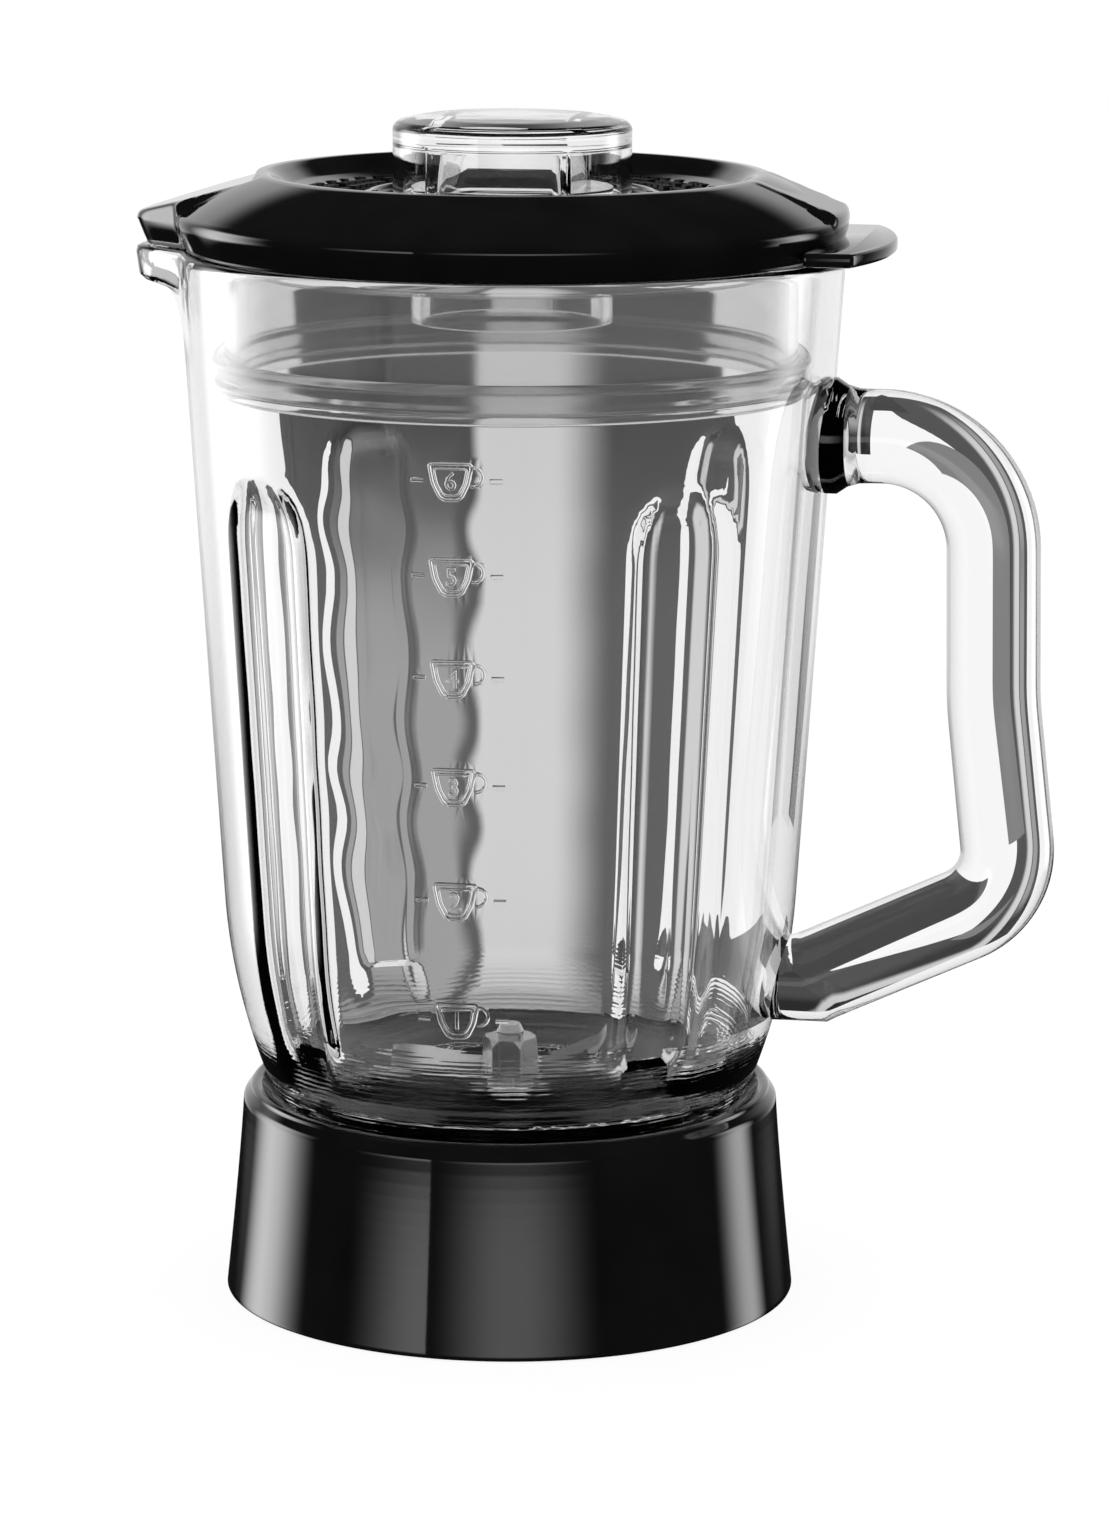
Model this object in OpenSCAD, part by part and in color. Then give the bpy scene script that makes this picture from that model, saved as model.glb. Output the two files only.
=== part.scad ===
// Glass blender jug on its drive collar, with blade unit, lid and measuring cup.
// Millimetres, +Z up. The origin is the centre of the collar's round mouth, in the plane the collar stands on.
// The handle points along +X, the pouring lip along -X and the graduations face -Y.

/* [Glass jug] */
// Outer radius of the glass at its rim
jug_rim_r = 71.6; // [68:0.1:76]
// Height of the glass rim above the surface the collar stands on
jug_rim_z = 229; // [215:0.5:240]
// How much the outer radius shrinks per millimetre going down
jug_taper = 0.0646; // [0.05:0.0002:0.08]
// Height below which the glass curves in towards the neck
jug_belly_z = 88; // [75:0.5:100]
// Strength of that curve, in millimetres per square millimetre
jug_sag = 0.00395; // [0.003:0.00005:0.0045]
// Thickness of the glass wall
jug_wall = 5.2; // [4.8:0.1:5.6]
// Length that the pouring lip reaches from the axis
lip_reach = 81.8; // [78:0.1:86]
// Radius of the round glass handle bar
handle_r = 10; // [8:0.1:11.5]
// Radius of the long grooves pressed into the glass
flute_r = 15; // [12:0.5:18]
// Depth of those grooves
flute_depth = 1.8; // [0.8:0.1:2.4]

/* [Graduations] */
// Number of graduations, each one cup of about 250 ml
cup_count = 6; // [4:1:6]
// Height of the first graduation
first_mark_z = 73.7; // [68:0.1:78]
// Height from the first graduation to the second
mark_step = 26.1; // [24:0.1:28]
// How much each further step shrinks as the jug widens
mark_step_loss = 1.54; // [1:0.02:2]
// Height of the raised marks above the glass
mark_relief = 0.6; // [0.3:0.1:1]

/* [Jug neck and thread] */
// Outer radius of the threaded neck below the shoulder
neck_r = 39.4; // [38:0.1:41]
// Radius of the opening through the neck
neck_bore_r = 35; // [33:0.1:35.4]
// Number of thread starts
thread_starts = 4; // [3:1:4]
// Rise of the thread in one turn
thread_lead = 24; // [22:0.5:28]
// Height of one thread rib
rib_h = 1.8; // [1.6:0.1:2]

/* [Collar] */
// Outer radius of the collar at the surface it stands on
collar_r = 62.6; // [60:0.1:66]
// Outer radius of the collar just under its rim
collar_top_r = 58.6; // [57.5:0.1:60]
// Height of the collar
collar_h = 45.9; // [44:0.1:48]
// Inner radius of the round mouth that slips over the drive plinth
mouth_r = 59; // [57:0.1:59.4]
// Depth of that mouth
mouth_depth = 6; // [4:0.5:7]

/* [Drive] */
// Radius of the blade shaft in its bushes
shaft_r = 4; // [3.5:0.1:4.5]
// Radial running clearance of the shaft in its bushes
shaft_gap = 0.05; // [0.02:0.01:0.1]
// Length of a blade from the axis
blade_reach = 26; // [22:0.5:30]
// Thickness of the blade steel
blade_t = 1.4; // [1:0.1:1.8]
// Radius of the drive coupler
coupler_r = 15; // [13:0.5:18]
// Number of drive dogs in the coupler
dog_count = 6; // [4:1:8]

/* [Lid] */
// Largest radius of the lid
lid_r = 72.2; // [70:0.1:74]
// Height of the raised ring around the dish of the lid
lid_top_z = 245.5; // [242:0.1:248]
// Wall thickness of the lid
lid_wall = 2.6; // [2:0.1:3]
// Radius of the filler hole
filler_r = 22; // [20:0.1:24]
// Radius that the thumb tab reaches from the axis
tab_reach = 82.5; // [80:0.1:86]
// Half width of the thumb tab
tab_half_w = 31; // [24:0.5:33]

/* [Measuring cup] */
// Outer radius of the cup's cap
cap_r = 25.6; // [24.5:0.1:27]
// Height of the edge of the cap
cap_z = 256.4; // [253:0.1:259]

/* [Hidden] */
$fn = 96;
black = [0.05, 0.05, 0.055];
smoke = [0.25, 0.25, 0.26];
clear = [0.85, 0.9, 0.92, 0.45];
steel = [0.78, 0.78, 0.8];
bronze = [0.72, 0.5, 0.3];
rubber = [0.3, 0.3, 0.31];

touch_gap = 0.2;        // gap between faces of pieces that part or turn on each other
deck_z = 38.8;          // top of the collar's inner deck
sleeve_r = 42.3;        // bore of the collar's threaded sleeve
sleeve_wall = 3.2;
seat_z = 18.4;          // ledge in the sleeve that the blade carrier stands on
seat_r = 36.5;          // inner radius of that ledge
sleeve_foot_z = 14;     // foot of the sleeve, where the lock ring is screwed on
lock_ring_z = 8;
lock_ring_r = 52;
lock_bore_r = 33;
screw_pitch_r = 48.8;
boss_foot_z = sleeve_foot_z + 0.4;
screw_r = 1.75;
carrier_flange_z = seat_z + touch_gap;
carrier_flange_h = 3.6;
carrier_boss_z = 20;
carrier_top_z = 41.6;
bush_r = 6.5;
seal_h = 1.3;           // height of the ring seal between carrier and glass
neck_foot_z = carrier_flange_z + carrier_flange_h + seal_h + touch_gap;
shoulder_z = 40;        // foot of the glass bowl, above the neck
floor_z = 44;           // inner edge of the glass floor
lug_z = 28;             // middle height of the glass thread ribs
ledge_z = lug_z + thread_lead / thread_starts / 2;
lug_angle = 30;
ledge_angle = 40;
rib_step = 10;          // degrees of arc in one step of a thread rib
lip_half_w = 24;
gasket_r = 64.5;
skirt_r = 61.6;
skirt_foot_z = 199.4;
flange_z = jug_rim_z + 0.3;
tab_z = 229.6;
tab_t = 3;
dish_z = 240.4;         // floor of the lid's dish
cup_foot_z = 214;
cup_r = filler_r - 0.4;
cup_wall = 2;
// Corners of the handle's centre line in X and Z, and the radius that the bar is bent to at each inner corner
handle_corners = [[64, 190.2], [104, 190.8], [105, 134], [109.8, 91.5], [61, 68.8]];
handle_bends = [0, 24, 90, 16, 0];
bend_swell = 0.1;       // the bends are a hair thicker than the straight runs
run_overlap = 0.8;      // how far each straight run reaches into its bends
blade_disc_r = 7.4;     // middle disc of a blade pair, a little wider than the collar and washers that clamp it
stud_r = 3;             // thinner end of the blade shaft, which carries the blades
hub_z = 42.7;
stud_z = 45;
lower_blade_z = 46.5;
upper_blade_z = lower_blade_z + blade_t + 1;
nut_z = upper_blade_z + blade_t + 1;

// Outer radius of the glass at height z
function jug_r(z) =
    jug_rim_r - jug_taper * (jug_rim_z - z) - jug_sag * pow(max(0, jug_belly_z - z), 2);
// Inner radius of the glass at height z
function bowl_r(z) = jug_r(z) - jug_wall;
// Outer radius of the collar at height z
function skirt_out_r(z) = collar_top_r + (collar_r - collar_top_r) * pow(1 - z / (collar_h - 2), 1.2);
// Height of graduation n, counted from 1
function mark_z(n) = first_mark_z + (n - 1) * mark_step - (n - 1) * (n - 2) / 2 * mark_step_loss;

module ring(outer_r, inner_r, h) {
    difference() {
        cylinder(r = outer_r, h = h);
        translate([0, 0, -1]) cylinder(r = inner_r, h = h + 2);
    }
}

// Wedge of a ring between two angles, standing on z = 0
module ring_sector(outer_r, inner_r, h, from, to) {
    far = outer_r * 1.5;
    intersection() {
        ring(outer_r, inner_r, h);
        translate([0, 0, -1]) linear_extrude(h + 2)
            polygon([[0, 0], [far * cos(from), far * sin(from)], [far * cos(to), far * sin(to)]]);
    }
}

// Helical rib made of short steps, centred on angle 0 and height z
module thread_rib(outer_r, inner_r, z, angle) {
    for (a = [-angle / 2 : rib_step : angle / 2 - rib_step]) {
        rise = thread_lead * (a + rib_step / 2) / 360;
        translate([0, 0, z + rise - rib_h / 2])
            ring_sector(outer_r, inner_r, rib_h, a, a + rib_step);
    }
}

module thread_ribs(outer_r, inner_r, z, angle) {
    for (i = [0 : thread_starts - 1])
        rotate([0, 0, i * 360 / thread_starts]) thread_rib(outer_r, inner_r, z, angle);
}

// ---------------------------------------------------------------- collar
module base_collar() {
    wall = 3;
    steps = 8;
    side_h = collar_h - 3;
    outside = [for (i = [0 : steps]) [skirt_out_r(side_h * i / steps), side_h * i / steps]];
    rim = [[collar_top_r - 0.7, collar_h - 2.2], [57, collar_h - 0.5], [56, collar_h], [54.8, collar_h - 0.3]];
    funnel = [[52.6, 42.2], [50.2, 39.9], [48.5, deck_z]];
    sleeve = [
        [sleeve_r, deck_z], [sleeve_r, seat_z], [seat_r, seat_z], [seat_r, sleeve_foot_z],
        [sleeve_r + sleeve_wall, sleeve_foot_z], [sleeve_r + sleeve_wall, deck_z - wall]
    ];
    inside = [[54.5, deck_z - wall], [55.4, deck_z - 1], [56, 36], [58, 12], [mouth_r, mouth_depth], [mouth_r, 0]];
    color(black) {
        rotate_extrude($fn = 180) polygon(concat(outside, rim, funnel, sleeve, inside));
        thread_ribs(sleeve_r + 0.4, neck_r + 0.5, ledge_z, ledge_angle);
        for (a = [90, 210, 330]) rotate([0, 0, a]) translate([screw_pitch_r, 0, 0]) screw_boss();
    }
}

module screw_boss() {
    difference() {
        translate([0, 0, boss_foot_z]) cylinder(r = 4, h = deck_z - 2.6 - boss_foot_z, $fn = 32);
        translate([0, 0, boss_foot_z - 1]) cylinder(r = screw_r, h = 11.8, $fn = 32);
    }
}

module lock_ring() {
    tab_angle = 40;
    color(smoke) {
        difference() {
            translate([0, 0, lock_ring_z]) ring(lock_ring_r, lock_bore_r, sleeve_foot_z - lock_ring_z);
            for (a = [90, 210, 330]) rotate([0, 0, a]) translate([screw_pitch_r, 0, 0]) {
                translate([0, 0, lock_ring_z - 1]) cylinder(r = screw_r + 0.2, h = 10, $fn = 32);
                translate([0, 0, lock_ring_z - 1]) cylinder(r = 3.4, h = 3.6, $fn = 32);
            }
        }
        for (a = [30, 150, 270]) rotate([0, 0, a]) translate([0, 0, sleeve_foot_z - 3])
            ring_sector(lock_bore_r + 0.4, lock_bore_r - 3.5, 3, -tab_angle / 2, tab_angle / 2);
    }
}

module lock_ring_screws() {
    color(steel)
        for (a = [90, 210, 330]) rotate([0, 0, a]) translate([screw_pitch_r, 0, 0]) {
            difference() {
                translate([0, 0, lock_ring_z + 0.4]) cylinder(r = 3.1, h = 2.2, $fn = 32);
                translate([-2.2, -0.4, lock_ring_z]) cube([4.4, 0.8, 1.4]);
                translate([-0.4, -2.2, lock_ring_z]) cube([0.8, 4.4, 1.4]);
            }
            translate([0, 0, lock_ring_z + 2.6]) cylinder(r = screw_r, h = 13.8, $fn = 32);
        }
}

// ---------------------------------------------------------------- blade carrier
module blade_carrier() {
    plug_r = neck_bore_r - 0.8;
    boss_r = 12;
    shell_r = 31.2;
    color(black) {
        rotate_extrude($fn = 120) polygon([
            [bush_r, carrier_boss_z], [boss_r, carrier_boss_z], [boss_r, 34.4], [shell_r, 30.2],
            [shell_r, carrier_flange_z], [neck_r, carrier_flange_z], [neck_r, carrier_flange_z + carrier_flange_h],
            [plug_r, carrier_flange_z + carrier_flange_h], [plug_r, 32], [plug_r - 1.2, 33.4], [13, 38],
            [10.5, carrier_top_z], [bush_r, carrier_top_z]
        ]);
        for (a = [0 : 60 : 300]) rotate([0, 0, a])
            translate([boss_r - 0.5, -1, 21]) cube([shell_r - boss_r + 1, 2, 9.6]);
    }
}

module bush(foot_z, h) {
    color(bronze) translate([0, 0, foot_z]) ring(bush_r, shaft_r + shaft_gap, h);
}

module upper_bush() { bush(30, 10); }
module lower_bush() { bush(carrier_boss_z, 7); }

module shaft_seal() {
    color(rubber) rotate_extrude() polygon([
        [shaft_r + 0.1, 40.9], [shaft_r + 0.9, 40], [bush_r, 40], [bush_r, carrier_top_z], [shaft_r + 0.8, carrier_top_z],
        [shaft_r + 0.1, 41.2]
    ]);
}

module seal_cover() {
    color(steel) translate([0, 0, carrier_top_z]) ring(9, shaft_r + 0.4, 0.7);
}

// ---------------------------------------------------------------- blades
module blade_shaft() {
    color(steel) difference() {
        union() {
            translate([0, 0, 12.6]) cylinder(r = shaft_r, h = stud_z - 12.6);
            translate([0, 0, stud_z]) cylinder(r = stud_r, h = nut_z + 6 - stud_z);
            translate([0, 0, nut_z + 6]) cylinder(r1 = stud_r, r2 = 2.2, h = 1.6);
        }
        translate([0, 0, 17.8]) ring(shaft_r + 1, shaft_r - 0.6, 1);
    }
}

module hub_collar() {
    color(steel) difference() {
        union() {
            translate([0, 0, hub_z]) cylinder(r1 = 5.6, r2 = 6.7, h = 1.4);
            translate([0, 0, hub_z + 1.4]) cylinder(r = 6.7, h = lower_blade_z - hub_z - 1.4);
        }
        translate([0, 0, hub_z - 1]) cylinder(r = shaft_r, h = stud_z - hub_z + 1);
        cylinder(r = stud_r, h = 60);
    }
}

// One ground wing of a blade: from the hub disc outwards, bent up or down by tilt degrees
module blade_wing(z, tilt) {
    root_x = blade_disc_r - 0.2;
    root_w = 10;
    tip_w = 5.5;
    length = (blade_reach - root_x) / cos(tilt);
    translate([root_x, 0, z]) rotate([0, -tilt, 0]) linear_extrude(blade_t) polygon([
        [-0.5, -root_w / 2], [0.55 * length, -root_w / 2], [length - 2.5, -tip_w / 2 - 1], [length, -tip_w / 2 + 1],
        [length, tip_w / 2], [0.55 * length, root_w / 2], [-0.5, root_w / 2]
    ]);
}

module blade_pair(z, tilt_a, tilt_b, turn) {
    color(steel) rotate([0, 0, turn]) difference() {
        union() {
            translate([0, 0, z]) cylinder(r = blade_disc_r, h = blade_t);
            blade_wing(z, tilt_a);
            rotate([0, 0, 180]) blade_wing(z, tilt_b);
        }
        translate([0, 0, z - 3]) cylinder(r = stud_r, h = 8);
    }
}

module lower_blades() { blade_pair(lower_blade_z, 4, -5, 100); }
module upper_blades() { blade_pair(upper_blade_z, 22, 10, 8); }

module blade_spacer() {
    color(steel) translate([0, 0, lower_blade_z + blade_t]) ring(6.2, stud_r, 1);
}

module blade_washer() {
    color(steel) translate([0, 0, upper_blade_z + blade_t]) ring(6.4, stud_r, 1);
}

module blade_nut() {
    color(steel) difference() {
        intersection() {
            translate([0, 0, nut_z]) cylinder(r = 6.2, h = 4.8, $fn = 6);
            translate([0, 0, nut_z]) cylinder(r1 = 7.2, r2 = 5.6, h = 4.8);
        }
        translate([0, 0, nut_z - 1]) cylinder(r = stud_r, h = 8);
    }
}

module thrust_washer() {
    color(bronze) translate([0, 0, carrier_boss_z - 1.1]) ring(7.5, shaft_r, 0.9);
}

module circlip() {
    color(steel) difference() {
        translate([0, 0, 17.9]) ring(5.6, shaft_r - 0.6, 0.8);
        translate([3, -1.2, 17]) cube([4, 2.4, 3]);
    }
}

module coupler_insert() {
    color(steel) difference() {
        translate([0, 0, 12.6]) cylinder(r = 7.5, h = 4.8, $fn = 6);
        translate([0, 0, 12]) cylinder(r = shaft_r, h = 7);
    }
}

module drive_coupler() {
    foot = 8.6;
    recess_r = 11.5;
    recess_h = 4;
    dog_r = 11;         // the dogs hang in a second, slightly narrower step of the recess
    dog_step_h = 2.2;
    color(rubber) {
        difference() {
            translate([0, 0, foot]) cylinder(r = coupler_r, h = 17.4 - foot);
            translate([0, 0, foot - 1]) cylinder(r = recess_r, h = recess_h + 1);
            translate([0, 0, foot + 1]) cylinder(r = dog_r, h = recess_h + dog_step_h - 1);
            translate([0, 0, foot]) cylinder(r = 7.5, h = 10, $fn = 6);
        }
        for (i = [0 : dog_count - 1]) rotate([0, 0, (i + 0.5) * 360 / dog_count])
            translate([dog_r - 2.5, -1.5, foot + recess_h + 0.4]) cube([3, 3, dog_step_h]);
    }
}

// ---------------------------------------------------------------- glass jug
module jug_seal() {
    z = carrier_flange_z + carrier_flange_h + touch_gap / 2;
    color(rubber) translate([0, 0, z]) ring(neck_r, neck_bore_r - 0.4, seal_h);
}

// Solid of the glass with its bowl filled in
module jug_outside() {
    belly = [for (z = [jug_belly_z : -6 : shoulder_z + 6]) [jug_r(z), z]];
    rotate_extrude($fn = 180) polygon(concat(
        [[0, jug_rim_z], [jug_rim_r - 1, jug_rim_z], [jug_rim_r - 0.1, jug_rim_z - 1]],
        belly,
        [[50.6, 43.4], [48.6, 41.2], [45.5, shoulder_z], [neck_r, shoulder_z], [neck_r, neck_foot_z], [0, neck_foot_z]]
    ));
}

// Space inside the jug, from the neck opening to above the rim
module jug_bowl() {
    wall = [for (z = [68 : 5 : 98]) [bowl_r(z), z]];
    rotate_extrude($fn = 180) polygon(concat(
        [[0, 0], [neck_bore_r, 0], [neck_bore_r, floor_z], [38.5, 45.2], [44.5, 48.4], [49.5, 53.4], [53, 60]],
        wall,
        [[bowl_r(jug_rim_z), jug_rim_z + 0.1], [bowl_r(jug_rim_z), jug_rim_z + 5], [0, jug_rim_z + 5]]
    ));
}

// Plan of the pouring lip, inset by in_by millimetres
module lip_plan(in_by) {
    reach = lip_reach - in_by;
    half = lip_half_w - in_by;
    polygon([
        [-50, -half], [-65, -half], [-reach + 5.5, -half * 0.52], [-reach + 1.5, -half * 0.3], [-reach, 0],
        [-reach + 1.5, half * 0.3], [-reach + 5.5, half * 0.52], [-65, half], [-50, half]
    ]);
}

// Prism of a side profile given in X and Z
module side_profile(half_width, points) {
    rotate([90, 0, 0]) translate([0, 0, -half_width]) linear_extrude(2 * half_width) polygon(points);
}

module lip_solid() {
    intersection() {
        translate([0, 0, 200]) linear_extrude(jug_rim_z - 200) lip_plan(0);
        side_profile(30, [
            [-lip_reach - 1, jug_rim_z + 1], [-lip_reach, jug_rim_z - 3], [-lip_reach + 1.2, 222.6],
            [-lip_reach + 4, 220.8], [-74.3, 220.3], [-70.6, 211.7], [-69.4, 204], [-66, 204], [-66, jug_rim_z + 1]
        ]);
    }
}

module lip_channel() {
    intersection() {
        translate([0, 0, 200]) linear_extrude(50) lip_plan(4.6);
        side_profile(30, [[-78, 240], [-77.2, 227], [-75.6, 225.2], [-70, 222.6], [-64, 210], [-55, 210], [-55, 240]]);
    }
}

function heading(a, b) = atan2(b[1] - a[1], b[0] - a[0]);
function turn_at(i) =
    let (turn = heading(handle_corners[i], handle_corners[i + 1]) - heading(handle_corners[i - 1], handle_corners[i]))
    turn > 180 ? turn - 360 : turn < -180 ? turn + 360 : turn;
// Length of straight bar that the bend at corner i takes up on each side
function bend_run(i) = handle_bends[i] == 0 ? 0 : handle_bends[i] * tan(abs(turn_at(i)) / 2);

module handle_run(i) {
    a = handle_corners[i];
    b = handle_corners[i + 1];
    from = bend_run(i) - run_overlap;
    to = norm(b - a) - bend_run(i + 1) + run_overlap;
    translate(a) rotate([0, 0, heading(a, b)]) translate([from, 0, 0]) rotate([0, 90, 0])
        cylinder(r = handle_r, h = to - from);
}

module handle_bend(i) {
    side = sign(turn_at(i));
    into = heading(handle_corners[i - 1], handle_corners[i]);
    bend = handle_bends[i];
    start = side > 0 ? into - 90 : into + 90 + turn_at(i);
    translate(handle_corners[i]) rotate([0, 0, into]) translate([-bend_run(i), side * bend, 0])
        rotate([0, 0, start - into]) rotate_extrude(angle = abs(turn_at(i))) translate([bend, 0])
            circle(r = handle_r + bend_swell);
}

// Flared root where the handle grows out of the wall, starting back millimetres before the given end
module handle_root(end, toward, back, h) {
    translate(end) rotate([0, 0, heading(end, toward)]) translate([-back, 0, 0]) rotate([0, 90, 0])
        cylinder(r1 = handle_r + 4.5, r2 = handle_r - 0.5, h = h);
}

module handle_bar() {
    last = len(handle_corners) - 1;
    rotate([90, 0, 0]) {
        for (i = [0 : last - 1]) handle_run(i);
        for (i = [1 : last - 1]) handle_bend(i);
        handle_root(handle_corners[0], handle_corners[1], 0, 12);
        handle_root(handle_corners[last], handle_corners[last - 1], 9, 20);
    }
}

// Long groove with round ends, laid along the sloping wall at the given azimuth
module flute(azimuth) {
    low = 62;
    high = 172;
    out = flute_r - flute_depth;
    end_r = flute_r + 0.15;     // the round ends swallow the ends of the straight cut
    foot = [jug_r(low) + out, low];
    top = [jug_r(high) + out, high];
    lean = atan2(top[0] - foot[0], top[1] - foot[1]);
    rotate([0, 0, azimuth]) {
        translate([foot[0], 0, foot[1]]) rotate([0, lean, 0]) translate([0, 0, -1])
            cylinder(r = flute_r, h = norm(top - foot) + 2);
        translate([foot[0], 0, foot[1]]) sphere(r = end_r);
        translate([top[0], 0, top[1]]) sphere(r = end_r);
    }
}

// Outline of a teacup with its handle to the right, centred on the fill line
module cup_outline() {
    difference() {
        union() {
            polygon([[-5.2, 3.4], [3.2, 3.4], [1.8, -2.4], [0.6, -3.6], [-2.6, -3.6], [-3.8, -2.4]]);
            translate([3.9, 0.9]) circle(r = 1.9, $fn = 24);
        }
        polygon([[-4.4, 2.7], [2.4, 2.7], [1.1, -2.1], [0.3, -2.9], [-2.3, -2.9], [-3.1, -2.1]]);
        translate([3.9, 0.9]) circle(r = 1.1, $fn = 24);
    }
}

// A mark on the front of the glass at height z: the outline of a cup between two dashes
module graduation(z) {
    translate([0, -jug_r(z) + 1.2, z]) rotate([90, 0, 0]) linear_extrude(1.2 + mark_relief) {
        cup_outline();
        for (x = [-9.6, 7]) translate([x, -0.5]) square([3, 1]);
    }
}

module glass_jug() {
    color(clear) difference() {
        union() {
            difference() {
                union() {
                    jug_outside();
                    lip_solid();
                }
                for (a = [-130, -50, 50, 130]) flute(a);
            }
            handle_bar();
            thread_ribs(sleeve_r - 0.7, neck_r - 0.4, lug_z, lug_angle);
            for (n = [1 : cup_count]) graduation(mark_z(n));
        }
        jug_bowl();
        lip_channel();
    }
}

// ---------------------------------------------------------------- lid
// Nose over the pouring lip: plan of the lip cut by a sloping top, lowered by drop and pulled in by in_by
module nose(drop, in_by) {
    intersection() {
        translate([0, 0, flange_z - 1]) linear_extrude(20) lip_plan(in_by + 0.3);
        side_profile(30, [
            [-lip_reach + 0.8 + in_by, flange_z - drop * 2], [-lip_reach + 0.6 + in_by, 232 - drop],
            [-78.6 + in_by, 236.8 - drop], [-52, lid_top_z - 0.5 - drop],
            [-46, lid_top_z - 6 - drop], [-46, flange_z - drop * 2]
        ]);
    }
}

module lid_outline(inset) {
    polygon([
        [0, dish_z - inset], [45, dish_z + 0.4 - inset], [48.3, dish_z + 1.6 - inset], [51, lid_top_z - 1 - inset],
        [52.6, lid_top_z - inset], [54.6, lid_top_z - 0.1 - inset], [57 - inset * 0.3, lid_top_z - 0.9 - inset],
        [66 - inset * 0.6, 240.8 - inset], [71.2 - inset, 237 - inset * 0.4], [lid_r - inset, 234],
        [lid_r - 0.4 - inset, 231], [lid_r - 1.8 - inset * 0.6, flange_z - 0.1 - inset],
        [0, flange_z - 0.1 - inset]
    ]);
}

module lid_cover() {
    tube_wall = 2;
    tube_foot_z = 224;
    color(black) difference() {
        union() {
            difference() {
                union() {
                    rotate_extrude($fn = 180) lid_outline(0);
                    nose(0, 0);
                    translate([0, 0, tab_z]) intersection() {
                        cylinder(r = tab_reach, h = tab_t);
                        translate([60, -tab_half_w, 0]) cube([40, 2 * tab_half_w, tab_t]);
                    }
                    side_profile(13, [[50, lid_top_z - 0.6], [54.6, lid_top_z - 0.2], [71, 238.4], [71, 234], [50, 240]]);
                }
                rotate_extrude($fn = 180) lid_outline(lid_wall);
                nose(lid_wall, lid_wall);
            }
            rotate_extrude() polygon([
                [filler_r - 1, tube_foot_z], [filler_r + tube_wall, tube_foot_z], [filler_r + tube_wall, dish_z - 1.6],
                [31, dish_z - 1.6], [32.2, dish_z - 0.2], [31.8, dish_z + 1.2], [29.6, dish_z + 1.2],
                [29.3, dish_z - 0.2], [filler_r - 1, dish_z - 0.2]
            ]);
        }
        translate([0, 0, 220]) cylinder(r = filler_r, h = 30);
    }
}

module lid_skirt() {
    color(smoke) rotate_extrude($fn = 180) polygon([
        [skirt_r - 2.2, skirt_foot_z], [skirt_r + 1.2, skirt_foot_z], [skirt_r + 1.2, skirt_foot_z + 2],
        [skirt_r, skirt_foot_z + 2], [skirt_r, flange_z], [68.4, flange_z], [68.4, flange_z + 1.8],
        [skirt_r, flange_z + 1.8], [skirt_r - 2.2, flange_z + 1.8]
    ]);
}

module lid_gasket() {
    z = skirt_foot_z + 2.1;
    color(rubber) rotate_extrude($fn = 180) polygon([
        [skirt_r + 0.05, z], [gasket_r - 1.2, z], [gasket_r - 0.4, z + 1.2], [gasket_r - 1.2, z + 2.4],
        [gasket_r - 1, z + 4], [gasket_r, z + 6.2], [gasket_r - 0.7, z + 6.8], [skirt_r + 1.4, z + 4.6],
        [skirt_r + 0.05, z + 6.4]
    ]);
}

// ---------------------------------------------------------------- measuring cup
module measuring_cup() {
    band = 4.6;
    well = [26, 33];        // rectangular well inside the cap
    seat = dish_z + 0.3 + touch_gap;
    color(clear) difference() {
        union() {
            rotate_extrude($fn = 120) polygon([
                [0, cap_z - band], [cap_r - 2.2, cap_z - band], [cap_r - 2.2, seat], [cap_r, seat], [cap_r, cap_z - 0.8],
                [cap_r - 0.9, cap_z], [cap_r - 6, cap_z + 1], [0, cap_z + 1.6]
            ]);
            translate([0, 0, cup_foot_z]) ring(cup_r, cup_r - cup_wall, seat + 2 - cup_foot_z);
            translate([-well[0] / 2 - cup_wall, -well[1] / 2 - cup_wall, seat])
                cube([well[0] + 2 * cup_wall, well[1] + 2 * cup_wall, cap_z - band - seat + 0.5]);
            translate([0, 0, seat]) cylinder(r = cup_r, h = 2);
        }
        translate([-well[0] / 2, -well[1] / 2, seat - 1])
            cube([well[0], well[1], cap_z - band - seat + 1]);
    }
}

base_collar();
lock_ring();
lock_ring_screws();
blade_carrier();
upper_bush();
lower_bush();
shaft_seal();
seal_cover();
blade_shaft();
hub_collar();
lower_blades();
blade_spacer();
upper_blades();
blade_washer();
blade_nut();
thrust_washer();
circlip();
coupler_insert();
drive_coupler();
jug_seal();
glass_jug();
lid_cover();
lid_skirt();
lid_gasket();
measuring_cup();
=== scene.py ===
"""Looks of a glass blender jug on its drive collar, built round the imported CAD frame.

Lengths are millimetres until make_object turns them into the metres of the frame.
"""
import math

import bmesh
import bpy
from mathutils import Matrix, Vector


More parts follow.
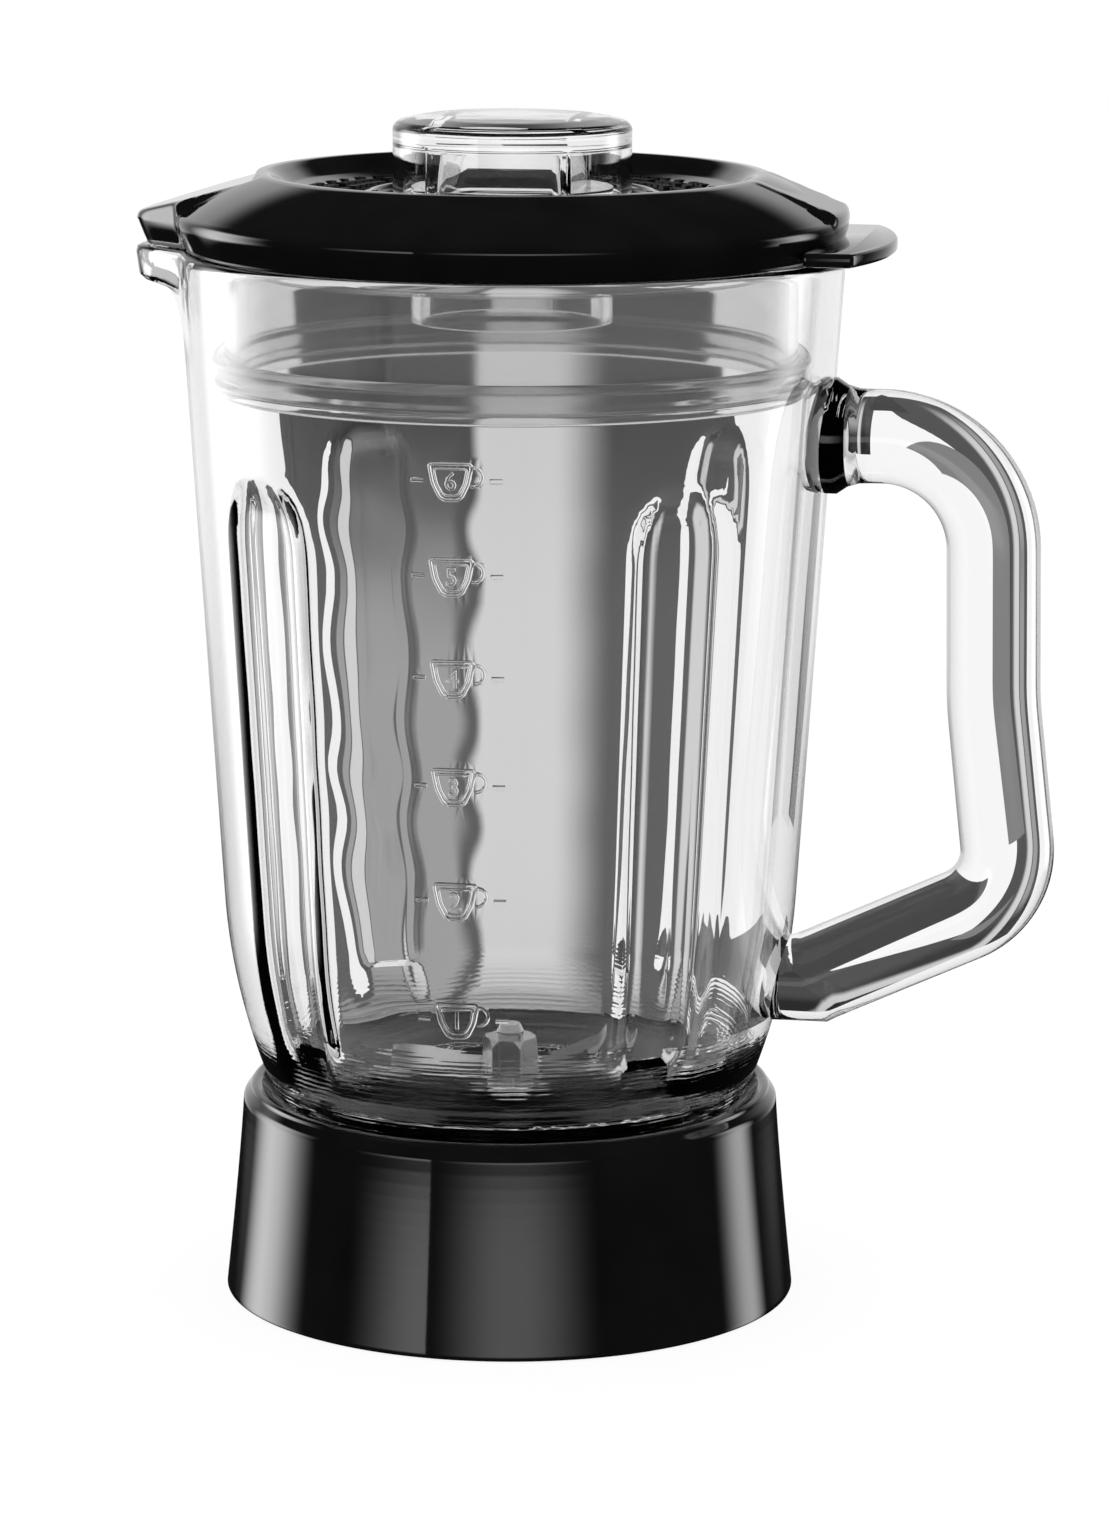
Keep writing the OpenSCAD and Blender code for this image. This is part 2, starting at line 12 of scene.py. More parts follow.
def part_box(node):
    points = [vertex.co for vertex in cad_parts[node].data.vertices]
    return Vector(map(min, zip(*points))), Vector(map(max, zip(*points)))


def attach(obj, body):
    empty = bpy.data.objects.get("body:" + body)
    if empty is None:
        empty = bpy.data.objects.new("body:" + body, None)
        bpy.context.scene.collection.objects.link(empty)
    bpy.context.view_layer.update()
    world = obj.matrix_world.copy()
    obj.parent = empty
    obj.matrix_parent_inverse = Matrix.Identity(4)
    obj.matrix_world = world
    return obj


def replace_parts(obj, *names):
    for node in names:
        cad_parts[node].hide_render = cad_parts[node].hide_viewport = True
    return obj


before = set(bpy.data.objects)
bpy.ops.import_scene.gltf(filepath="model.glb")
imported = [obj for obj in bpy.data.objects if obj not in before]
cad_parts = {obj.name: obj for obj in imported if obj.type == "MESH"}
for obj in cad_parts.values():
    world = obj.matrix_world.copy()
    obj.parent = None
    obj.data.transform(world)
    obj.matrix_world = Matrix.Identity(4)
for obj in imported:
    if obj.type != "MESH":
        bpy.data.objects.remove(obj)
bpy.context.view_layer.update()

MM = 0.001
TURN = 2 * math.pi

# ---------------------------------------------------------------- driving dimensions, as in the CAD model
CAMERA_AZIMUTH = math.radians(9.5)

# Glass jug
RIM_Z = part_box("glass_jug")[1].z / MM
NECK_FOOT_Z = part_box("glass_jug")[0].z / MM
LIP_REACH = -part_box("glass_jug")[0].x / MM
RIM_R = 71.6                        # radius of the plain wall at the rim
TAPER = 0.0646                      # radius lost per millimetre below the rim
BELLY_Z = 88                        # the wall curves in below this height
SAG = 0.00395                       # how fast it curves in
WALL = 5.2
WALL_TOP_Z = 228                    # the rim is rounded above this height
LIP_SIDE = 64.3                     # distance of each side of the pointed lip from the axis
LIP_SIDE_ANGLE = math.radians(43)   # direction of that distance, from the lip's tip
NECK_R = 39.4
NECK_BORE_R = 35
THREAD_LEAD = 24
THREAD_STARTS = 4
RIB_H = 1.6
JUG_SEGMENTS = 264

FLUTES = [math.radians(a) for a in (-131.5, -48.5, 48.5, 131.5)]
FLUTE_HALF_W = math.radians(11.5)
FLUTE_DEPTH = 1.7
FLUTE_DEPTH_INSIDE = 2.2
FLUTE_TIP_Z = 170                   # the top of a flute is rounded from here up
FLUTE_TIP_H = 16

# Graduations
MARK_COUNT = 6
FIRST_MARK_Z = 73.7
MARK_STEP = 26.1
MARK_STEP_LOSS = 1.54               # each step is this much shorter than the one below

# Handle: corners and bend radii of its centre line, in X and Z
BAR_R = 10.1
HANDLE_CORNERS = [(61, 190.4), (104, 190.8), (105, 134), (109.8, 91.5), (55, 66)]
HANDLE_BENDS = [0, 24, 90, 16, 0]

# Collar
COLLAR_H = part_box("base_collar")[1].z / MM
COLLAR_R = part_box("base_collar")[1].x / MM
COLLAR_TOP_R = 58.6

# Lid
LID_FOOT_Z = RIM_Z + 0.2
LID_R = 72.2
LID_TOP_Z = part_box("lid_cover")[1].z / MM
LID_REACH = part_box("lid_cover")[1].x / MM
RING_R = 54.6                       # outer edge of the ring round the dish
EDGE_R = 1.3                        # round edge between the shoulder and the side
DISH_Z = 240.4
FILLER_R = 22
SKIRT_R = 61.6
SKIRT_FOOT_Z = 199.4
SKIRT_WALL = 2.2

# Measuring cup
CAP_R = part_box("measuring_cup")[1].x / MM
CAP_TOP_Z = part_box("measuring_cup")[1].z / MM
CUP_FOOT_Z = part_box("measuring_cup")[0].z / MM
CUP_WALL = 2
WELL_HALF = (15, 18.5)              # outside of the square well under the cap


# ---------------------------------------------------------------- small helpers
def smooth(x, low, high):
    """0 below low, 1 above high, with a soft step between."""
    t = min(1.0, max(0.0, (x - low) / (high - low)))
    return t * t * (3 - 2 * t)


def curve_at(points, x):
    """Height at x of the straight stretches that join (x, y) points."""
    if x <= points[0][0]:
        return points[0][1]
    for (x0, y0), (x1, y1) in zip(points, points[1:]):
        if x <= x1:
            return y0 + (y1 - y0) * (x - x0) / (x1 - x0)
    return points[-1][1]


def soft_min(a, b, blend):
    """The lesser of two values, rounded off where they cross."""
    h = max(blend - abs(a - b), 0) / blend
    return min(a, b) - h * h * blend / 4


def span(low, high, step):
    """Even values from low to high, both included, about step apart."""
    count = max(1, round(abs(high - low) / step))
    return [low + (high - low) * i / count for i in range(count + 1)]


def polar(r, angle, z):
    return (r * math.cos(angle), r * math.sin(angle), z)


def circle_plan(radius, count, x=0.0, y=0.0):
    """A round outline in plan."""
    angles = [TURN * j / count for j in range(count)]
    return [(x + radius * math.cos(a), y + radius * math.sin(a)) for a in angles]


def finish_shading(piece, sharp):
    """Smooth shading, with edges left sharp where faces meet at more than sharp degrees."""
    piece.data.polygons.foreach_set("use_smooth", [True] * len(piece.data.polygons))
    piece.data.set_sharp_from_angle(angle=math.radians(sharp))


def make_object(name, vertices, faces, material=None, sharp=35):
    mesh = bpy.data.meshes.new(name)
    mesh.from_pydata([Vector(v) * MM for v in vertices], [], faces)
    mesh.validate()
    bm = bmesh.new()
    bm.from_mesh(mesh)
    bmesh.ops.recalc_face_normals(bm, faces=bm.faces)
    bm.to_mesh(mesh)
    bm.free()
    piece = bpy.data.objects.new(name, mesh)
    bpy.context.scene.collection.objects.link(piece)
    finish_shading(piece, sharp)
    if material:
        mesh.materials.append(material)
    return piece


def skin(rings, loop=True, cap_ends=False):
    """Vertices and faces between rings of equal length. loop joins the last ring to the first."""
    count, width = len(rings), len(rings[0])
    vertices = [p for ring in rings for p in ring]
    faces = []
    for i in range(count if loop else count - 1):
        for j in range(width):
            a, b = i * width, (i + 1) % count * width
            k = (j + 1) % width
            faces.append((a + j, a + k, b + k, b + j))
    if cap_ends:
        faces.append(tuple(range(width))[::-1])
        faces.append(tuple(range((count - 1) * width, count * width)))
    return vertices, faces


def round_corners(points, radius, steps=4, loop=True):
    """Replaces each corner of an outline with a short arc. radius is one value, or a list with one each."""
    out = []
    count = len(points)
    for i, p in enumerate(points):
        size = radius[i] if isinstance(radius, list) else radius
        if size == 0 or (not loop and i in (0, count - 1)):
            out.append(tuple(p))
            continue
        corner = Vector(p)
        before, after = Vector(points[i - 1]) - corner, Vector(points[(i + 1) % count]) - corner
        run = min(size, before.length * 0.45, after.length * 0.45)
        start, end = corner + before.normalized() * run, corner + after.normalized() * run
        for step in range(steps + 1):
            t = step / steps
            out.append(tuple(start.lerp(corner, t).lerp(corner.lerp(end, t), t)))
    return out


def add_supports(points, reach=0.25, loop=True):
    """Extra points near both ends of each long straight stretch, which keep its shading flat."""
    out = []
    for i, p in enumerate(points):
        a, b = Vector(p), Vector(points[(i + 1) % len(points)])
        out.append(tuple(a))
        if not loop and i == len(points) - 1:
            break
        length = (b - a).length
        if length > 4 * reach:
            out += [tuple(a.lerp(b, reach / length)), tuple(a.lerp(b, 1 - reach / length))]
    return out


def revolve(name, profile, material, radius=0.4, segments=192, sharp=50):
    """A turned piece from a closed outline of (r, z) points."""
    outline = add_supports(round_corners(profile, radius))
    rings = [[polar(r, TURN * j / segments, z) for j in range(segments)] for r, z in outline]
    return make_object(name, *skin(rings), material, sharp)


def revolve_solid(name, profile, material, radius, segments, sharp):
    """A turned piece without a hole: the outline starts and ends on the axis."""
    outline = add_supports(round_corners(profile, radius, loop=False), loop=False)
    inner = outline[1:-1]
    rings = [[polar(r, TURN * j / segments, z) for j in range(segments)] for r, z in inner]
    vertices, faces = skin(rings, loop=False)
    for (r, z), row in ((outline[0], 0), (outline[-1], len(inner) - 1)):
        vertices.append((0, 0, z))
        tip = len(vertices) - 1
        for j in range(segments):
            faces.append((tip, row * segments + j, row * segments + (j + 1) % segments))
    return make_object(name, vertices, faces, material, sharp)


def apply_modifier(piece, kind, **settings):
    modifier = piece.modifiers.new(kind.title(), kind)
    for key, value in settings.items():
        setattr(modifier, key, value)
    bpy.context.view_layer.objects.active = piece
    with bpy.context.temp_override(object=piece, active_object=piece, selected_objects=[piece]):
        bpy.ops.object.modifier_apply(modifier=modifier.name)


def bevel_edges(piece, width, segments):
    apply_modifier(
        piece, "BEVEL", width=width * MM, segments=segments, limit_method="ANGLE", angle_limit=0.6
    )


def prism(name, outline, z_low, z_high, material=None, top_scale=1.0):
    """Straight or tapered prism of a plan outline."""
    low = [(x, y, z_low) for x, y in outline]
    high = [(x * top_scale, y * top_scale, z_high) for x, y in outline]
    return make_object(name, *skin([low, high], loop=False, cap_ends=True), material)


def sweep(name, rings):
    """Closed skin over a row of rings of points."""
    return make_object(name, *skin(rings, loop=False, cap_ends=True))


def combine(base, tools, operation, sharp):
    """Boolean of base with each tool in turn; the tools are used up."""
    for tool in tools:
        apply_modifier(base, "BOOLEAN", operation=operation, object=tool, solver="MANIFOLD")
        bpy.data.objects.remove(tool, do_unlink=True)
    finish_shading(base, sharp)


def join(name, pieces):
    """One object that holds the meshes of all the pieces."""
    bm = bmesh.new()
    for piece in pieces:
        bm.from_mesh(piece.data)
    mesh = bpy.data.meshes.new(name)
    bm.to_mesh(mesh)
    bm.free()
    for material in pieces[0].data.materials:
        mesh.materials.append(material)
    for piece in pieces:
        bpy.data.objects.remove(piece, do_unlink=True)
    joined = bpy.data.objects.new(name, mesh)
    bpy.context.scene.collection.objects.link(joined)
    return joined


# ---------------------------------------------------------------- materials
def grey(level):
    return (level, level, level)


def new_material(name, **values):
    """A Principled material; returns it with its node tree and shader."""
    material = bpy.data.materials.new(name)
    material.use_nodes = True
    tree = material.node_tree
    shader = tree.nodes["Principled BSDF"]
    for key, value in values.items():
        shader.inputs[key.replace("_", " ")].default_value = value
    return material, tree, shader


def noise(tree, scale, detail=3.0, stretch=(1, 1, 1)):
    coordinates = tree.nodes.new("ShaderNodeTexCoord")
    mapping = tree.nodes.new("ShaderNodeMapping")
    mapping.inputs["Scale"].default_value = stretch
    texture = tree.nodes.new("ShaderNodeTexNoise")
    texture.inputs["Scale"].default_value = scale
    texture.inputs["Detail"].default_value = detail
    tree.links.new(coordinates.outputs["Object"], mapping.inputs["Vector"])
    tree.links.new(mapping.outputs["Vector"], texture.inputs["Vector"])
    return texture.outputs["Fac"]


def vary(tree, factor, low, high, socket):
    """Drives a value socket between low and high by factor."""
    spread = tree.nodes.new("ShaderNodeMapRange")
    spread.inputs["To Min"].default_value = low
    spread.inputs["To Max"].default_value = high
    tree.links.new(factor, spread.inputs["Value"])
    tree.links.new(spread.outputs["Result"], socket)


def tint(tree, factor, dark, light, socket):
    """Drives a colour socket between two colours by factor."""
    ramp = tree.nodes.new("ShaderNodeValToRGB")
    ramp.color_ramp.elements[0].position = 0.3
    ramp.color_ramp.elements[1].position = 0.7
    ramp.color_ramp.elements[0].color = (*dark, 1)
    ramp.color_ramp.elements[1].color = (*light, 1)
    tree.links.new(factor, ramp.inputs["Fac"])
    tree.links.new(ramp.outputs["Color"], socket)


def bump(tree, height, strength, distance, shader, after=None):
    node = tree.nodes.new("ShaderNodeBump")
    node.inputs["Strength"].default_value = strength
    node.inputs["Distance"].default_value = distance * MM
    tree.links.new(height, node.inputs["Height"])
    if after is not None:
        tree.links.new(after.outputs["Normal"], node.inputs["Normal"])
    tree.links.new(node.outputs["Normal"], shader.inputs["Normal"])
    return node


def moulded(name, dark, light, roughness, grain, grain_height, **values):
    """Moulded plastic or rubber: a little colour and gloss variation, and a surface grain."""
    material, tree, shader = new_material(name, **values)
    tint(tree, noise(tree, 60), dark, light, shader.inputs["Base Color"])
    vary(tree, noise(tree, 35, 5), roughness[0], roughness[1], shader.inputs["Roughness"])
    bump(tree, noise(tree, grain, 4), 0.35, grain_height, shader)
    return material


def metal(name, dark, light, roughness, stretch):
    """Machined metal, with grinding lines along the directions that stretch leaves small."""
    material, tree, shader = new_material(name, Metallic=1.0)
    lines = noise(tree, 900, 2, stretch)
    tint(tree, noise(tree, 80, 4), dark, light, shader.inputs["Base Color"])
    vary(tree, lines, roughness[0], roughness[1], shader.inputs["Roughness"])
    bump(tree, lines, 0.25, 0.01, shader)
    return material


def clear(name, ior, shade, wave, wave_height, foot_ripples=False):
    """Clear glass or plastic, with the soft waves of the mould."""
    material, tree, shader = new_material(name, IOR=ior, Transmission_Weight=1.0)
    tint(tree, noise(tree, 12), grey(shade), grey(shade + 0.015), shader.inputs["Base Color"])
    vary(tree, noise(tree, 50, 4), 0.0, 0.012, shader.inputs["Roughness"])
    waves = bump(tree, noise(tree, wave, 1, (1, 1, 0.35)), 0.6, wave_height, shader)
    if foot_ripples:
        ripple(tree, shader, waves)
    return material


def ripple(tree, shader, waves):
    """Fine level ripples that the mould leaves in the thick glass near the foot, added to the waves."""
    coordinates = tree.nodes.new("ShaderNodeTexCoord")
    split = tree.nodes.new("ShaderNodeSeparateXYZ")
    bands = tree.nodes.new("ShaderNodeTexWave")
    bands.bands_direction = "Z"
    bands.inputs["Scale"].default_value = 300
    bands.inputs["Distortion"].default_value = 1.5
    bands.inputs["Detail"].default_value = 1
    fade = tree.nodes.new("ShaderNodeMapRange")
    fade.interpolation_type = "SMOOTHSTEP"
    fade.inputs["From Min"].default_value = 68 * MM
    fade.inputs["From Max"].default_value = 54 * MM
    height = tree.nodes.new("ShaderNodeMath")
    height.operation = "MULTIPLY"
    tree.links.new(coordinates.outputs["Object"], split.inputs["Vector"])
    tree.links.new(coordinates.outputs["Object"], bands.inputs["Vector"])
    tree.links.new(split.outputs["Z"], fade.inputs["Value"])
    tree.links.new(bands.outputs["Fac"], height.inputs[0])
    tree.links.new(fade.outputs["Result"], height.inputs[1])
    bump(tree, height.outputs["Value"], 0.5, 0.06, shader, waves)


BLACK, DEEP_BLACK = grey(0.007), grey(0.004)
MATERIALS = {
    "glass": clear("jug_glass", 1.5, 0.975, 30, 0.25, foot_ripples=True),
    "clear_plastic": clear("clear_plastic", 1.52, 0.97, 60, 0.05),
    "gloss_black": moulded("gloss_black", DEEP_BLACK, BLACK, (0.03, 0.07), 900, 0.004),
    "matt_black": moulded(
        "matt_black", DEEP_BLACK, BLACK, (0.35, 0.5), 1400, 0.02, Specular_IOR_Level=0.12
    ),
    "mark_black": moulded("mark_black", DEEP_BLACK, grey(0.008), (0.5, 0.6), 1500, 0.02),
    "smoke": moulded(
        "smoke", grey(0.91), grey(0.94), (0.03, 0.06), 400, 0.004, Transmission_Weight=0.95, IOR=1.45
    ),
    "grey": moulded("grey", grey(0.055), grey(0.07), (0.3, 0.4), 1200, 0.01),
    "silicone": moulded(
        "silicone", grey(0.8), grey(0.86), (0.1, 0.16), 400, 0.01, Transmission_Weight=0.92, IOR=1.2
    ),
    "rubber": moulded("rubber", grey(0.03), grey(0.045), (0.45, 0.6), 1100, 0.02),
    "coupler": moulded("coupler_rubber", grey(0.02), grey(0.03), (0.55, 0.7), 900, 0.03),
    "steel": metal("steel", grey(0.5), grey(0.62), (0.18, 0.32), (1, 1, 0.05)),
    "blade_steel": metal("blade_steel", grey(0.58), grey(0.7), (0.14, 0.3), (0.06, 1, 1)),
    "bronze": metal("bronze", (0.42, 0.25, 0.11), (0.55, 0.35, 0.18), (0.35, 0.5), (1, 1, 1)),
}


# ---------------------------------------------------------------- glass jug
# Share of the lip's reach beyond the plain wall, by height
LIP_OUTSIDE = [
    (204, 0.0), (211.7, 0.03), (216, 0.13), (219.6, 0.28), (220.6, 0.5), (221.4, 0.8), (222.6, 0.93),
    (WALL_TOP_Z, 1.0)
]
LIP_INSIDE = [(207, 0.0), (214, 0.1), (222, 0.35), (225, 0.85), (227, 1.0)]
LIP_WALL = 4.8

# Outlines in r and z: the neck's outside up to the wall, and the floor's inside down to the neck's foot
NECK_OUTLINE = [
    (NECK_R, NECK_FOOT_Z + 1), (NECK_R, 38), (NECK_R + 0.6, 40), (45.5, 40), (48.6, 41.2), (51.2, 43.8)
]
FLOOR_OUTLINE = [
    (53, 60), (49.5, 53.4), (44.5, 48.4), (38.5, 45.2), (NECK_BORE_R, 43.6), (NECK_BORE_R, NECK_FOOT_Z + 1)
]


def jug_r(z):
    """Outer radius of the plain glass at height z."""
    return RIM_R - TAPER * (RIM_Z - z) - SAG * max(0, BELLY_Z - z) ** 2


def lip_plan(angle, inset=0.0):
    """Radius of the pointed plan of the lip at an angle, or 0 well away from it."""
    away = abs((angle % TURN) - math.pi)
    side = 0
    if away < math.radians(60):
        side = (LIP_SIDE - inset) / math.cos(min(LIP_SIDE_ANGLE - away, 1.4))
    return soft_min(LIP_REACH - inset, side, 3.0)


def flute(angle, z):
    """How far a flute is pressed in, from 0 to 1."""
    ends = smooth(z, 49, 58) * (1 - smooth(z, 178, FLUTE_TIP_Z + FLUTE_TIP_H))
    if ends == 0:
        return 0.0
    nearest = min(abs((angle - centre + math.pi) % TURN - math.pi) for centre in FLUTES)
    # the half width shrinks towards the top, which makes a round tip
    tip = math.sqrt(max(0.0, 1 - max(0.0, (z - FLUTE_TIP_Z) / FLUTE_TIP_H) ** 2))
    width = FLUTE_HALF_W * max(0.25, tip)
    return ends * (1 - smooth(nearest, width * 0.42, width))


def mould_wave(angle, z):
    """Slow waves of the inner wall beside the graduations, left by the plunger of the mould."""
    right = angle + TURN / 4 if angle < TURN / 4 else angle - 0.75 * TURN
    sides = 1 - smooth(abs(right), math.radians(42), math.radians(56))
    left_only = 1 - 0.85 * smooth(right, 0, math.radians(8))
    ends = smooth(z, 62, 72) * (1 - smooth(z, 182, 196))
    drift = math.sin(TURN * z / 61) * 0.5
    upright = math.sin(TURN * (z - 70) / 25.2 + drift)
    return 0.08 * sides * left_only * ends * upright * math.sin(11 * angle + 0.6 + drift)


def jug_outside(angle, z):
    plain = jug_r(z)
    lip = curve_at(LIP_OUTSIDE, z) * max(0.0, lip_plan(angle) - plain)
    return plain - FLUTE_DEPTH * flute(angle, z) + lip


def jug_inside(angle, z):
    plain = jug_r(z) - WALL + mould_wave(angle, z)
    lip = curve_at(LIP_INSIDE, z) * max(0.0, lip_plan(angle, LIP_WALL) - plain)
    return plain - FLUTE_DEPTH_INSIDE * flute(angle, z) + lip


def jug_body():
    """The bowl and neck as one closed skin: up the outside, over the rim and down the inside."""
    angles = [TURN * j / JUG_SEGMENTS for j in range(JUG_SEGMENTS)]
    # rings lie close together where a flute or the lip ends
    up = span(46, 62, 2) + span(65, 86, 3) + span(90, 166, 5) + span(169, 190, 1.5) + span(194, 218, 3)
    up += span(219, 223, 0.5) + [224.5, 226, 227.4]
    down = [227.4] + span(226, 206, 1.5) + span(202, 190, 4) + span(188, 167, 1.5) + span(163, 62, 2.5)
    edge = [(0.4, 228.6), (1.5, RIM_Z)]

    def turned(outline, radius):
        return [[polar(r, a, z) for a in angles] for r, z in round_corners(outline, radius, loop=False)]

    rings = turned(NECK_OUTLINE, 1.5)
    rings += [[polar(jug_outside(a, z), a, z) for a in angles] for z in up]
    for inset, z in edge:
        rings.append([polar(jug_outside(a, WALL_TOP_Z) - inset, a, z) for a in angles])
    for inset, z in reversed(edge):
        rings.append([polar(jug_inside(a, WALL_TOP_Z) + inset, a, z) for a in angles])
    rings += [[polar(jug_inside(a, z), a, z) for a in angles] for z in down]
    rings += turned(FLOOR_OUTLINE, 2)
    foot = [(NECK_BORE_R + 0.6, NECK_FOOT_Z), (NECK_R - 0.6, NECK_FOOT_Z)]
    rings += [[polar(r, a, z) for a in angles] for r, z in foot]
    return make_object("glass_jug_visual", *skin(rings), MATERIALS["glass"], 60)


def bend_points(before, corner, after, radius):
    """Points along the arc that rounds a corner."""
    into, out = (corner - before).normalized(), (after - corner).normalized()
    turn = into.angle_signed(out)
    start = corner - into * radius * math.tan(abs(turn) / 2)
    side = Vector((into.y, -into.x)) * (1 if turn > 0 else -1)
    centre = start + side * radius
    spoke = start - centre
    steps = max(4, round(math.degrees(abs(turn)) / 4))
    points = []
    for i in range(steps + 1):
        cos_a, sin_a = math.cos(turn * i / steps), math.sin(turn * i / steps)
        turned = (spoke.x * cos_a + spoke.y * sin_a, -spoke.x * sin_a + spoke.y * cos_a)
        points.append(centre + Vector(turned))
    return points


def handle_line(spacing=2.5):
    """Centre line of the handle in X and Z: straight runs joined by arcs, as close points."""
    corners = [Vector(corner) for corner in HANDLE_CORNERS]
    line = [corners[0]]
    for i in range(1, len(corners) - 1):
        line += bend_points(corners[i - 1], corners[i], corners[i + 1], HANDLE_BENDS[i])
    line.append(corners[-1])
    even = []
    for a, b in zip(line, line[1:]):
        pieces = max(1, math.ceil((b - a).length / spacing))
        even += [a.lerp(b, i / pieces) for i in range(pieces)]
    return even + [line[-1]]


def handle(sides=48):
    """Solid glass bar of round section, flared where it grows out of the wall."""
    line = handle_line()
    rings = []
    for i, p in enumerate(line):
        ahead, behind = line[min(i + 1, len(line) - 1)], line[max(i - 1, 0)]
        along = (ahead - behind).normalized()
        across = Vector((-along.y, along.x))
        clear_of_wall = p.x - jug_r(p.y)
        radius = BAR_R * (1 + 0.5 * (1 - smooth(clear_of_wall, -3, 9)) ** 2)
        ring = []
        for j in range(sides):
            u, v = radius * math.cos(TURN * j / sides), radius * math.sin(TURN * j / sides)
            ring.append((p.x + across.x * u, v, p.y + across.y * u))
        rings.append(ring)

    def settle(ring):
        """Pulls an end ring onto the middle of the glass wall."""
        return [(math.sqrt((jug_r(z) - WALL / 2) ** 2 - y * y), y, z) for _, y, z in ring]

    def clears_wall(ring):
        return min(math.hypot(x, y) - jug_r(z) for x, y, z in ring) > -1.2

    body = [ring for ring in rings if clears_wall(ring)]
    return sweep("handle", [settle(body[0])] + body + [settle(body[-1])])


def on_glass(u, v, z, lift):
    """A point on the front of the glass: u to the right, v up from height z, lift off the surface."""
    height = z + v
    angle = -math.pi / 2 + u / jug_r(height)
    return Vector(polar(jug_r(height) + lift, angle, height))


def stroke(points, z, closed, width=0.42, rise=0.4, sides=8):
    """A raised line with a round back, laid on the front of the glass."""
    count = len(points)
    rings = []
    for i, (u, v) in enumerate(points):
        before = Vector(points[i - 1] if closed or i else points[i])
        after = Vector(points[(i + 1) % count] if closed or i < count - 1 else points[i])
        along = (after - before).normalized()
        across = Vector((-along.y, along.x)) * width
        ring = []
        for j in range(sides):
            cos_a, sin_a = math.cos(TURN * j / sides), math.sin(TURN * j / sides)
            ring.append(on_glass(u + across.x * cos_a, v + across.y * cos_a, z, rise * sin_a))
        rings.append(ring)
    return make_object("stroke", *skin(rings, loop=closed, cap_ends=not closed))


# Outlines of a teacup in u and v, centred on its fill line
CUP_OUTSIDE = [
    (-5.6, 3.5), (3.4, 3.5), (2.6, -0.6), (1.2, -3.4), (0.2, -4.0), (-2.5, -4.0), (-3.4, -3.4), (-4.8, -0.6)
]
CUP_INSIDE = [
    (-4.6, 2.5), (2.4, 2.5), (1.75, -0.7), (0.6, -2.7), (-0.2, -3.05), (-2.1, -3.05), (-2.8, -2.7),
    (-3.9, -0.7)
]
CUP_MIDDLE = (-1.1, -0.3)
DASHES_U = (-9.4, 7.0)
DASH_W = 2.6


def outline_points(corners, radius, spacing=1.2):
    """A rounded outline with extra points along its straight stretches."""
    points = round_corners(corners, radius, steps=3)
    out = []
    for i, p in enumerate(points):
        a, b = Vector(p), Vector(points[(i + 1) % len(points)])
        pieces = max(1, round((b - a).length / spacing))
        out += [tuple(a.lerp(b, k / pieces)) for k in range(pieces)]
    return out


def ear_points(u=3.5, v=0.9, radius=2.0):
    """The handle of a teacup, as an open arc."""
    angles = [math.radians(a) for a in span(100, -100, 20)]
    return [(u + radius * math.cos(a), v + radius * math.sin(a)) for a in angles]


def digit(number, z):
    """The number inside the cup, raised from the glass with sloping sides."""
    curve = bpy.data.curves.new("digit", "FONT")
    curve.body = str(number)
    curve.size = 5.4
    curve.align_x = "CENTER"
    curve.align_y = "CENTER"
    curve.extrude = 0.15
    curve.bevel_depth = 0.25
    curve.offset = -0.12
    curve.resolution_u = 2
    text = bpy.data.objects.new("digit", curve)
    bpy.context.scene.collection.objects.link(text)
    bpy.context.view_layer.update()
    mesh = bpy.data.meshes.new_from_object(text)
    bpy.data.objects.remove(text, do_unlink=True)
    bm = bmesh.new()
    bm.from_mesh(mesh)
    bmesh.ops.remove_doubles(bm, verts=bm.verts, dist=0.01)
    middle_u, middle_v = CUP_MIDDLE
    vertices = [on_glass(v.co.x + middle_u, v.co.y + middle_v, z, v.co.z) for v in bm.verts]
    faces = [[v.index for v in f.verts] for f in bm.faces]
    bm.free()
    return make_object("digit", vertices, faces)


def graduation_parts():
    """Raised cup outlines, digits and dashes, and separately the cups' ears, which cross the outlines."""
    lines, ears = [], []
    for n in range(MARK_COUNT):
        z = FIRST_MARK_Z + n * MARK_STEP - n * (n - 1) / 2 * MARK_STEP_LOSS
        lines.append(stroke(outline_points(CUP_OUTSIDE, 0.8), z, True))
        lines.append(stroke(outline_points(CUP_INSIDE, 0.7), z, True, 0.3, 0.3))
        lines.append(digit(n + 1, z))
        for u in DASHES_U:
            lines.append(stroke([(u, 0), (u + DASH_W / 2, 0), (u + DASH_W, 0)], z, False, 0.55, 0.45))
        ears.append(stroke(ear_points(), z, False))
    return lines, ears


def thread_rib(start, radius, depth, z, arc):
    """One helical rib, from radius outwards by depth, or inwards where depth is negative."""
    rings = []
    half = RIB_H / 2
    for a in span(-arc / 2, arc / 2, 3):
        rise = z + THREAD_LEAD * a / 360
        section = [(0, -half - 0.3), (depth, -half + 0.25), (depth, half - 0.25), (0, half + 0.3)]
        if depth < 0:
            section.reverse()
        rings.append([polar(radius + out, math.radians(start + a), rise + up) for out, up in section])
    return sweep("thread_rib", rings)


def thread_ribs(radius, depth, z, arc):
    return [thread_rib(360 / THREAD_STARTS * i, radius, depth, z, arc) for i in range(THREAD_STARTS)]


def glass_jug():
    body = jug_body()
    bar = handle()
    ribs = thread_ribs(NECK_R - 0.5, 2.7, 28, 30)
    lines, ears = graduation_parts()
    combine(body, [join("raised", [bar] + ribs + lines), join("ears", ears)], "UNION", 60)
    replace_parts(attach(body, "jug"), "glass_jug")


